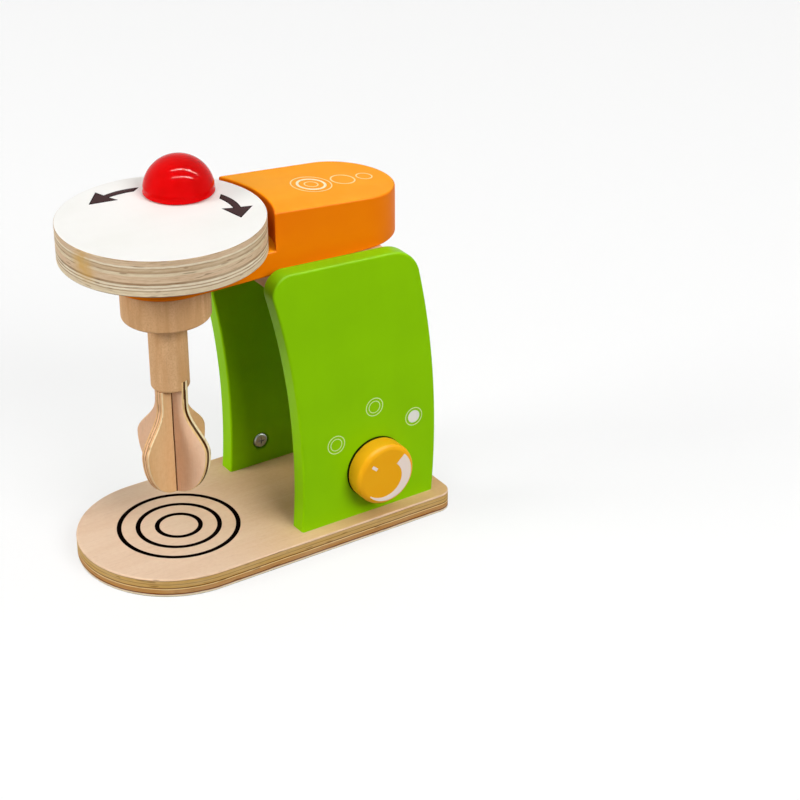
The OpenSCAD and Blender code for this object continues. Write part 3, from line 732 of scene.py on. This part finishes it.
def head():
    """The head: a long block with round ends, hollowed for the disc down to its arm."""
    half_w = HEAD_HIGH.y
    foot, arm_top = HEAD_LOW.z, HEAD_LOW.z + ARM_T
    back_x = HEAD_HIGH.x
    fall = math.tan(math.radians(HEAD_TOP_SLOPE))

    def top_z(x):
        return foot + HEAD_BACK_H + (back_x - x) * fall

    reach = math.degrees(math.asin(half_w / RECESS_R))
    hollow = arc((AXLE.x, 0), RECESS_R, -reach, reach, 36)
    corner_x = hollow[0][0]
    front = [(corner_x, half_w)] + arc((AXLE.x, 0), half_w, 90, 270, 60) + [(corner_x, -half_w)]
    back = [(corner_x, -half_w)] + arc((back_x - half_w, 0), half_w, -90, 90, 60) + [(corner_x, half_w)]
    bm = bmesh.new()
    made = {}

    def point(xy, z):
        key = (round(xy[0], 7), round(xy[1], 7), round(z, 7))
        if key not in made:
            made[key] = bm.verts.new(key)
        return made[key]

    bm.faces.new([point(p, foot) for p in front + back[1:-1]])
    bm.faces.new([point(p, arm_top) for p in front + hollow[1:-1]])
    bm.faces.new([point(p, top_z(p[0])) for p in back + hollow[-2:0:-1]])
    for p, q in zip(front, front[1:]):
        bm.faces.new((point(p, foot), point(q, foot), point(q, arm_top), point(p, arm_top)))
    for p, q in zip(back, back[1:]):
        corners = [point(p, foot), point(q, foot)]
        if q == back[-1]:
            corners.append(point(q, arm_top))
        corners += [point(q, top_z(q[0])), point(p, top_z(p[0]))]
        if p == back[0]:
            corners.append(point(p, arm_top))
        bm.faces.new(corners)
    for p, q in zip(hollow, hollow[1:]):
        bm.faces.new((point(p, arm_top), point(q, arm_top), point(q, top_z(q[0])), point(p, top_z(p[0]))))
    bmesh.ops.recalc_face_normals(bm, faces=bm.faces)
    ease(bm, 1.3 * MM)
    finished("eased_head", bm, orange, "head", "head")


def disc():
    """The crank disc: painted on top, with its plies bare and slightly uneven on the rim."""
    radius, low, high = DISC_HIGH.y, DISC_LOW.z, DISC_HIGH.z
    ply_count, top_edge, low_edge, rim_sides = 11, 0.6 * MM, 1.2 * MM, 192
    profile = [(0, low)] + lower_edge(radius, low, low_edge, 5)
    pitch = (high - low) / ply_count
    beside, groove = 0.25 * pitch, 0.18 * MM
    for i in range(1, ply_count):
        z = low + pitch * i
        worn = 0.10 * MM * (1 + noise.noise((i * 1.7, 0.3, 0.9)))
        profile += [(radius - worn, z - beside), (radius - groove, z), (radius - worn * 0.6, z + beside)]
    profile += upper_edge(radius, high, top_edge, 3, end=60)
    bm = turned(profile + [(0, profile[-1][1])], upright(AXLE), rim_sides)
    pocket = CRANK_COUNTERBORE_H
    bore = [(0, -MM), (COUNTERBORE_D / 2, -MM), (COUNTERBORE_D / 2, pocket), (SCREW_BORE_D / 2, pocket)]
    bore = [(r, low + h) for r, h in bore] + [(SCREW_BORE_D / 2, high + MM), (0, high + MM)]
    finished("turned_disc", cut(bm, turned(bore, upright(KNOB), HOLE_SIDES)), disc_ply, "spinner", "disc")
    rim = profile[-1]
    skin = [(0, rim[1]), rim, (radius - top_edge * 0.75, high - 0.05 * MM)]
    skin += [(radius - top_edge, high), (0, high)]
    finished("painted_disc_top", turned(skin, upright(AXLE), rim_sides), white, "spinner")


def hub():
    radius, low, high, edge = HUB_HIGH.y, HUB_LOW.z, HUB_HIGH.z, 1.6 * MM
    profile = [(0, low)] + lower_edge(radius, low, edge, 6) + upper_edge(radius, high, edge, 6)
    finished("turned_hub", turned(profile + [(0, high)], upright(AXLE)), beech, "spinner", "hub")


def beater_shaft():
    """The shaft, with the slot in its end that the second blade shows in."""
    radius, low, high, edge = SHAFT_HIGH.y, SHAFT_LOW.z, SHAFT_HIGH.z, 2.0 * MM
    profile = [(0, low)] + lower_edge(radius, low, edge, 4) + [(radius, high), (0, high)]
    half_t = BLADE_T / 2 + 2 * SLOT_GAP
    slot = box_mesh((-2 * radius, -half_t, low - MM), (2 * radius, half_t, low + OPEN_SLOT_L))
    turn = Matrix.Translation(AXLE) @ Matrix.Rotation(math.radians(BLADE_ANGLE + 90), 4, "Z")
    bmesh.ops.transform(slot, matrix=turn, verts=slot.verts)
    finished("turned_shaft", cut(turned(profile, upright(AXLE)), slot), beech, "spinner", "beater_shaft")


def blade(letter, turn, shoulder_z, lap_low, lap_high, material):
    """One beater blade, with the slot of the half lap cut out of its middle."""
    a = math.radians(BLADE_ANGLE + turn)
    along = Vector((math.cos(a), math.sin(a), 0))
    square = blade_normal(turn)

    def place(u, v, w):
        return AXLE + along * u + square * w + Vector((0, 0, v))

    bm = slab(blade_outline(shoulder_z), -BLADE_T / 2, BLADE_T / 2, place)
    ease(bm, 0.6 * MM, chosen=lambda e: max(v.co.z for v in e.verts) < SHAFT_LOW.z + 0.5 * MM)
    half_t = BLADE_T / 2 + 3.4 * SLOT_GAP
    outline = [(-half_t, lap_low), (half_t, lap_low), (half_t, lap_high), (-half_t, lap_high)]
    lap = slab(outline, -BLADE_T, BLADE_T, place)
    name = "beater_blade_" + letter
    finished("eased_" + name, cut(bm, lap), material, "spinner", name)


def beater():
    """The crossed blades, half lapped into each other, and four dark strips of painted shade in the seams
    between them.
    """
    low, shaft_z = BLADE_LOW.z, SHAFT_LOW.z
    lap_z = (low + shaft_z) / 2
    over = shaft_z + TONGUE_L + MM
    blade("a", 0, shaft_z, lap_z, over, blade_plies[0])
    blade("b", 90, shaft_z + OPEN_SLOT_L - SLOT_END_GAP, low - MM, lap_z, blade_plies[1])
    seam_low = low + 0.7 * MM
    for i in range(4):
        seam_shade_strip(i, seam_low, shaft_z)


def seam_shade_strip(number, low, high):
    """A dark strip of painted shade in the gap of the half lap, in one of the four corners between the
    blades.
    """
    half_w = 0.40 * MM
    near, far = BLADE_T / 2 - half_w, BLADE_T / 2 + half_w
    bm = box_mesh((near, near, low), (far, far, high))
    turn = Matrix.Translation(AXLE) @ Matrix.Rotation(math.radians(BLADE_ANGLE + 90 * number), 4, "Z")
    bmesh.ops.transform(bm, matrix=turn, verts=bm.verts)
    finished(f"seam_shade_strip_{number}", bm, seam_shade_ink, "spinner")


def crank_knob():
    """The crank knob: a dome over a shallow waist and a slightly flared foot."""
    radius, low, height = (KNOB_HIGH.x - KNOB_LOW.x) / 2, KNOB_LOW.z, KNOB_HIGH.z - KNOB_LOW.z
    foot_r, waist_h, waist_depth = 1.0 * MM, 3.2 * MM, 0.5 * MM
    dome_z = height - radius
    profile = [(0, 0)] + lower_edge(radius, 0, foot_r, 5)
    profile += [(radius - waist_depth * 0.7, waist_h * 0.72), (radius - waist_depth, waist_h)]
    profile += [(r, dome_z + h) for r, h in arc((0, 0), radius, 9, 90, 30)[:-1]] + [(0, height)]
    finished("turned_knob", turned(profile, upright(KNOB, low), FINE_SIDES), red, "knob", "crank_knob")


def dial():
    """The dial, lower by the print on its face, so that both fill the CAD box."""
    back_r = 1 * MM
    profile = [(0, 0)] + lower_edge(DIAL_R, 0, back_r, 4) + upper_edge(DIAL_R, DIAL_H, DIAL_EDGE_R, 10)
    bm = turned(profile + [(0, DIAL_H)], out_of_panel(DIAL, DIAL_HIGH.y, -1), FINE_SIDES)
    finished("turned_dial", bm, yellow, "dial", "dial")


def side_peg():
    """The peg on the far panel: a stem with a rounded head."""
    length, head_r, half_h = PEG_HIGH.y - PEG_LOW.y, (PEG_HIGH.x - PEG_LOW.x) / 2, 4.5 * MM
    stem_r = 5.5 * MM
    profile = [(0, 0), (stem_r, 0), (stem_r, length - 2 * half_h)]
    for i in range(-8, 13):
        a = math.radians(7.5 * i)
        profile.append((stem_r + (head_r - stem_r) * math.cos(a), length - half_h + half_h * math.sin(a)))
    profile.append((0, length))
    finished("turned_side_peg", turned(profile, out_of_panel(PEG, PEG_LOW.y, 1)), beech, "root", "side_peg")


# Prints

def print_ring(name, inner, outer, place, material, body, segments=96):
    """A printed ring or, with no inner radius, a dot, on the surface that place describes."""
    profile = [(inner, 0), (inner, PRINT_T), (outer, PRINT_T), (outer, 0), (inner, 0)]
    if inner == 0:
        profile = [(0, PRINT_T), (outer, PRINT_T), (outer, 0)]
    finished(name, turned(profile, place, segments), material, body)


def base_prints():
    """Three rings on the base board, round the beater's axis."""
    half_w = 1.45 * MM
    for i, middle in enumerate((13.4 * MM, 25.2 * MM, 36.8 * MM)):
        place = upright(AXLE, BASE_HIGH.z)
        print_ring(f"base_ring_{i}", middle - half_w, middle + half_w, place, black_ink, "root", 160)


def head_prints():
    """Rings on the sloping top of the head, the second of them bold."""
    fall = math.tan(math.radians(HEAD_TOP_SLOPE))
    foot_z = HEAD_LOW.z + HEAD_BACK_H

    def on_top(centre_x):
        def place(x, y, h):
            return (centre_x + x, y, foot_z + (HEAD_HIGH.x - centre_x - x) * fall + h)
        return place

    # Each ring's place along X, its radius and its width, in millimetres
    rings = ((49.95, 12.3, 0.7), (49.95, 8.4, 1.6), (49.95, 4.1, 0.7), (72.1, 7.3, 0.9), (87.3, 4.8, 0.8))
    for i, (x, middle, width) in enumerate(rings):
        inner, outer = (middle - width / 2) * MM, (middle + width / 2) * MM
        tone = bold_ink if width > 1 else head_ink
        print_ring(f"head_ring_{i}", inner, outer, on_top(x * MM), tone, "head")


def panel_prints():
    """Marks round the dial on the near panel, of which the last is filled, and a dark ring of painted
    shadow in the gap round the dial's rim.
    """
    outer_ring, inner_ring, dot_r = (5.7 * MM, 6.2 * MM), (3.7 * MM, 4.15 * MM), 4.2 * MM
    marks = ((33.3, 66.9, False), (61.1, 84.9, False), (89.9, 69.6, True))
    for i, (x, z, filled) in enumerate(marks):
        place = out_of_panel(Vector((x * MM, 0, z * MM)), PANEL_LOW.y, -1)
        print_ring(f"panel_ring_{i}", *outer_ring, place, panel_ink, "root")
        if filled:
            print_ring(f"panel_dot_{i}", 0, dot_r, place, dot_ink, "root")
        else:
            print_ring(f"panel_inner_{i}", *inner_ring, place, panel_ink, "root")
    # Painted shadow: a dark ring on the panel just past the dial's rim, standing in for the shade in the
    # gap behind the dial
    behind_dial = out_of_panel(DIAL, PANEL_LOW.y, -1)
    print_ring("dial_gap_shadow", DIAL_R - 2 * MM, DIAL_R + 0.2 * MM, behind_dial, gap_shadow_ink, "root")


def flat_print(name, rows, material, body):
    """A print made of quads between rows of points on the surface."""
    bm = bmesh.new()
    verts = [[bm.verts.new(p) for p in row] for row in rows]
    for first, second in zip(verts, verts[1:]):
        for i in range(len(first) - 1):
            bm.faces.new((first[i], first[i + 1], second[i + 1], second[i]))
    finished(name, bm, material, body)


def arrow(name, way):
    """A curved arrow on the disc, from beside the knob round to one side, with a dark outline.
    Its points have a radius in millimetres and an angle in degrees, counted from the knob."""
    def at(radius, angle):
        a = math.radians(KNOB_ANGLE + way * angle)
        return (AXLE.x + radius * MM * math.cos(a), radius * MM * math.sin(a))

    outer_tail, outer_neck, outer_r, outer_bulge = 33.5, 61.8, 45.4, 1.7
    inner_tail, inner_neck, inner_r, inner_taper = 39.7, 61.9, 42.6, 1.8
    steps = 16
    outline = []
    for i in range(steps + 1):
        share = i / steps
        radius = outer_r + outer_bulge * math.sin(math.pi * share / 2)
        outline.append(at(radius, outer_tail + (outer_neck - outer_tail) * share))
    outline += [at(54.1, 62.0), at(46.4, 80.7), at(35.9, 60.5)]
    for i in range(steps + 1):
        share = i / steps
        outline.append(at(inner_r - inner_taper * share, inner_neck + (inner_tail - inner_neck) * share))

    def shape(low, high):
        return slab(outline, low, high, lambda u, v, w: (u, v, w))

    outline_w = 0.55 * MM
    finished(name + "_outline", shape(DISC_HIGH.z, DISC_HIGH.z + PRINT_T), outline_ink, "spinner")
    inner = shape(DISC_HIGH.z, DISC_HIGH.z + 2 * PRINT_T)
    shrink(inner, outline_w)
    finished(name + "_fill", inner, arrow_ink, "spinner")


def shrink(bm, width):
    """Moves an upright slab's outline inwards, and a sharp corner no further than a limit allows."""
    bm.normal_update()
    sharpest = 0.28
    moves = {}
    for vert in bm.verts:
        sides = [f.normal for f in vert.link_faces if abs(f.normal.z) < 0.5]
        between = (sides[0] + sides[1]).normalized()
        moves[vert] = -between * width / max(sharpest, between.dot(sides[0]))
    for vert, move in moves.items():
        vert.co += move


def dial_prints():
    """A crescent that narrows round the dial's face, and a short pointer."""
    flat_r = DIAL_R - DIAL_EDGE_R

    def at(r, angle):
        a = math.radians(angle)
        drop = 0
        if r > flat_r:
            drop = DIAL_EDGE_R - math.sqrt(DIAL_EDGE_R ** 2 - (r - flat_r) ** 2)
        y = DIAL_HIGH.y - DIAL_H + drop - PRINT_T
        return Vector((DIAL.x + r * math.cos(a), y, DIAL.z + r * math.sin(a)))

    start_a, sweep, along, across = 42, 180, 60, 8
    rows = []
    for i in range(along + 1):
        share = i / along
        inner = (9.3 + 7.2 * share ** 1.25) * MM
        outer = (17.2 + 0.6 * math.sin(math.pi * share)) * MM
        angle = start_a - sweep * share
        rows.append([at(inner + (outer - inner) * j / across, angle) for j in range(across + 1)])
    flat_print("dial_crescent", rows, dial_ink, "dial")
    pointer_a, half_w = 139.4, 1.0 * MM
    side = Vector((-math.sin(math.radians(pointer_a)), 0, math.cos(math.radians(pointer_a))))
    middles = [at(r * MM, pointer_a) for r in (9.5, 11, 12.5, 14)]
    rows = [[middle - side * half_w, middle + side * half_w] for middle in middles]
    flat_print("dial_pointer", rows, dial_ink, "dial")


# Stage

def stage_floor():
    """A pale floor that keeps the shadow. It is seen nearly white, but bounces less light than that."""
    mesh = bpy.data.meshes.new("floor")
    reach = 6.0
    corners = [(-reach, -reach, 0), (reach, -reach, 0), (reach, reach, 0), (-reach, reach, 0)]
    mesh.from_pydata(corners, [], [(0, 1, 2, 3)])
    floor = bpy.data.objects.new("floor", mesh)
    bpy.context.scene.collection.objects.link(floor)
    shader = Shader("floor_paper")
    white_light = shader.node("ShaderNodeEmission", (1, 1, 1, 1), 1.0)
    path = shader.nodes.new("ShaderNodeLightPath").outputs
    seen = shader.math("MAXIMUM", path["Is Camera Ray"], path["Is Glossy Ray"])
    seen = shader.math("MAXIMUM", seen, path["Is Transmission Ray"])
    shader.set(base_color=shader.mix(seen, colour(122, 122, 121), colour(250, 250, 249)), roughness=0.9)
    shader.set(specular_ior_level=0.1)
    glow = shader.times(seen, 0.66)
    mixed = shader.node("ShaderNodeMixShader", glow, shader.surface.outputs[0], white_light)
    shader.links.new(mixed, shader.output.inputs[0])
    mesh.materials.append(shader.material)


def world_light(strength):
    """Even light from all round, which the camera and reflections see as white."""
    world = bpy.data.worlds.new("studio")
    bpy.context.scene.world = world
    world.use_nodes = True
    nodes, links = world.node_tree.nodes, world.node_tree.links
    nodes.clear()
    lit, seen = nodes.new("ShaderNodeBackground"), nodes.new("ShaderNodeBackground")
    lit.inputs["Strength"].default_value = strength
    lit.inputs["Color"].default_value = (1, 1, 1, 1)
    seen.inputs["Color"].default_value = (1, 1, 1, 1)
    path, mixed = nodes.new("ShaderNodeLightPath"), nodes.new("ShaderNodeMixShader")
    shown = path.outputs["Is Camera Ray"]
    for ray in ("Is Glossy Ray", "Is Transmission Ray"):
        either = nodes.new("ShaderNodeMath")
        either.operation = "MAXIMUM"
        links.new(shown, either.inputs[0])
        links.new(path.outputs[ray], either.inputs[1])
        shown = either.outputs[0]
    links.new(shown, mixed.inputs["Fac"])
    links.new(lit.outputs[0], mixed.inputs[1])
    links.new(seen.outputs[0], mixed.inputs[2])
    links.new(mixed.outputs[0], nodes.new("ShaderNodeOutputWorld").inputs["Surface"])


def stand(item, place, right, up, back):
    """Puts a lamp or the camera in its place, facing away from back."""
    item.matrix_world = Matrix.Translation(place) @ Matrix((right, up, back)).transposed().to_4x4()
    bpy.context.scene.collection.objects.link(item)


def softbox(name, place, width, height, power, along, mirrored=False):
    """A flat lamp facing the object, its width along a direction. A mirrored one only makes highlights."""
    light = bpy.data.lights.new(name, "AREA")
    light.shape = "RECTANGLE"
    light.size, light.size_y, light.energy = width, height, power
    lamp = bpy.data.objects.new(name, light)
    lamp.visible_glossy, lamp.visible_diffuse = mirrored, not mirrored
    aim = Vector((0, 0, 0.1))
    back = (Vector(place) - aim).normalized()
    side = Vector(along)
    side = (side - side.dot(back) * back).normalized()
    stand(lamp, place, side, back.cross(side), back)


def make_camera():
    """The photograph's view: its azimuth, elevation and roll in degrees, its place in metres."""
    azimuth, elevation, roll = (math.radians(a) for a in (-33.373, 29.432, -0.126))
    place = (-0.58697, -1.06263, 0.74253)
    back = Vector((
        math.sin(azimuth) * math.cos(elevation),
        -math.cos(azimuth) * math.cos(elevation),
        math.sin(elevation),
    ))
    level = Vector((math.cos(azimuth), math.sin(azimuth), 0))
    above = back.cross(level)
    right = math.cos(roll) * level + math.sin(roll) * above
    up = math.cos(roll) * above - math.sin(roll) * level
    data = bpy.data.cameras.new("camera")
    data.sensor_width = 36
    data.lens = 100.92
    data.shift_y = 0.045
    camera = bpy.data.objects.new("camera", data)
    stand(camera, place, right, up, back)
    bpy.context.scene.camera = camera


def plain_nodes():
    """Finishes for the CAD nodes that show as they are."""
    finishes = {"steel": steel, "felt": dark_felt, "solid_wood": beech}
    slots = {row["node"]: row["material_slot"] for row in frame["record"]["subparts"]}
    for name, piece in frame["nodes"].items():
        if slots[name] in finishes:
            for index in range(len(piece.material_slots)):
                piece.material_slots[index].material = finishes[slots[name]]


make_camera()
base_board()
panel("eased_dial_panel", PANEL_LOW, PANEL_HIGH, DIAL, COUNTERBORE_H, "dial_panel")
panel("eased_peg_panel", FAR_PANEL_LOW, FAR_PANEL_HIGH, PEG, PEG_POCKET_H, "peg_panel")
bridge_block()
head()
disc()
hub()
beater_shaft()
beater()
crank_knob()
dial()
side_peg()
plain_nodes()

base_prints()
head_prints()
panel_prints()
arrow("left_arrow", 1)
arrow("right_arrow", -1)
dial_prints()

stage_floor()
world_light(0.02)
# A wide ceiling, a softbox in front and one at the beater's end, and two long tubes for highlights
softbox("ceiling", (0, 0, 3.7), 5.0, 5.0, 90, (1, 0, 0))
softbox("front_lamp", (0.5, -3.15, 2.35), 2.4, 1.6, 105, (1, 0.12, 0))
softbox("end_lamp", (-3.4, 0.9, 1.65), 1.8, 1.6, 94, (0.25, 0.95, 0))
softbox("overhead_tube", (0.92, -0.51, 3.65), 5.5, 0.22, 540, (0.93, -0.36, 0), mirrored=True)
softbox("front_tube", (-0.03, -1.98, 3.65), 4.7, 0.22, 490, (0.92, -0.40, 0), mirrored=True)
bpy.context.scene.view_settings.view_transform = "Standard"
